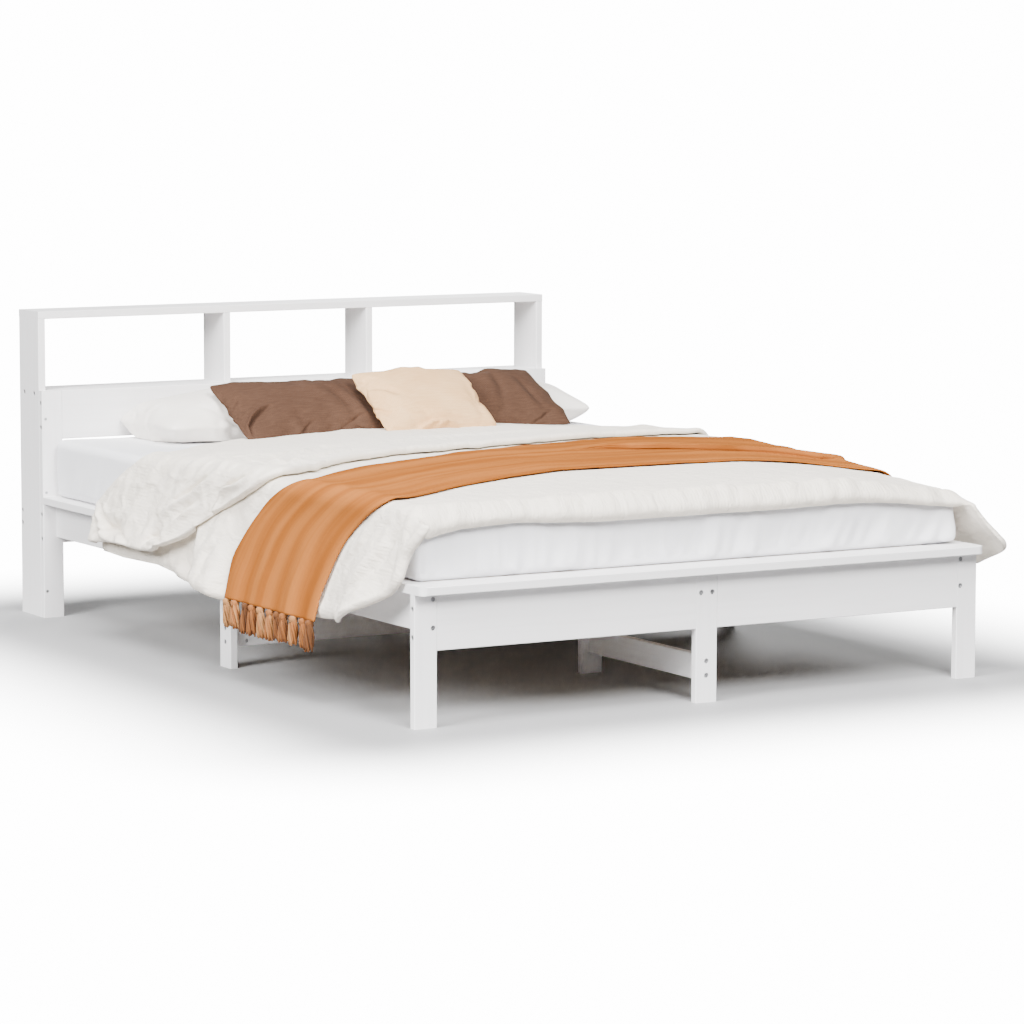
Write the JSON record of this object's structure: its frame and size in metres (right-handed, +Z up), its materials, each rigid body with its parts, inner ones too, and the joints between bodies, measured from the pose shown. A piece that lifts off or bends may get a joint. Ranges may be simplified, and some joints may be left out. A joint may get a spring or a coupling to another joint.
{
  "type": "bed with bookcase headboard",
  "caption": "White painted pine bed for a 150 by 200 cm mattress, with an open bookcase headboard, slats, fitted mattress, folded duvet, tasselled throw, pillows and cushions.",
  "frame": {"origin": "On the floor, under the middle of the bed's overall box", "axes": "+X to the right seen from the foot, +Y from foot to head, +Z up"},
  "size_m": [1.724, 2.236, 0.818],
  "materials": {
    "white_wood": "white painted pine, faint grain showing",
    "bare_pine": "plain sanded pine, hidden under the mattress",
    "steel": "zinc plated fasteners",
    "beech": "fluted beech dowels",
    "sheet_cotton": "white cotton fitted sheet",
    "duvet_cotton": "warm off-white cotton with fine woven ribs",
    "throw_cotton": "light terracotta woven cotton with soft lengthwise stripes",
    "tassel_yarn": "mixed brown and tan yarn",
    "pillow_cotton": "white cotton",
    "brown_linen": "taupe brown linen",
    "beige_linen": "pale beige linen"
  },
  "bodies": {
    "root": {"foot_leg_left": "white_wood", "foot_leg_right": "white_wood", "foot_leg_centre": "white_wood", "foot_panel_left": "white_wood", "foot_panel_right": "white_wood", "foot_cap": "white_wood", "side_rail_left": "white_wood", "side_rail_right": "white_wood", "side_cap_left": "white_wood", "side_cap_right": "white_wood", "slat_ledger_left": "bare_pine", "slat_ledger_right": "bare_pine", "mid_leg_left": "white_wood", "mid_leg_right": "white_wood", "cross_stretcher": "white_wood", "centre_leg_front": "white_wood", "centre_leg_mid": "white_wood", "centre_leg_rear": "white_wood", "centre_leg_head": "white_wood", "long_stretcher_front": "white_wood", "long_stretcher_rear": "white_wood", "centre_rail_left": "bare_pine", "centre_rail_right": "bare_pine", "head_post_left": "white_wood", "head_post_right": "white_wood", "head_side_left": "white_wood", "head_side_right": "white_wood", "head_panel_upper": "white_wood", "head_panel_lower": "white_wood", "head_rear_rail": "white_wood", "shelf": "white_wood", "divider_left": "white_wood", "divider_right": "white_wood", "top_board": "white_wood", "slat_01": "bare_pine", "slat_02": "bare_pine", "slat_03": "bare_pine", "slat_04": "bare_pine", "slat_05": "bare_pine", "slat_06": "bare_pine", "slat_07": "bare_pine", "slat_08": "bare_pine", "slat_09": "bare_pine", "slat_10": "bare_pine", "slat_11": "bare_pine", "slat_12": "bare_pine", "short_bolts": "steel", "long_bolts": "steel", "barrel_nuts": "steel", "dowels": "beech", "wood_screws": "steel", "mattress": "sheet_cotton", "duvet": "duvet_cotton", "throw": "throw_cotton", "tassels": "tassel_yarn", "pillow_left": "pillow_cotton", "pillow_right": "pillow_cotton", "cushion_brown_left": "brown_linen", "cushion_brown_right": "brown_linen", "cushion_beige": "beige_linen"}
  },
  "joints": []
}
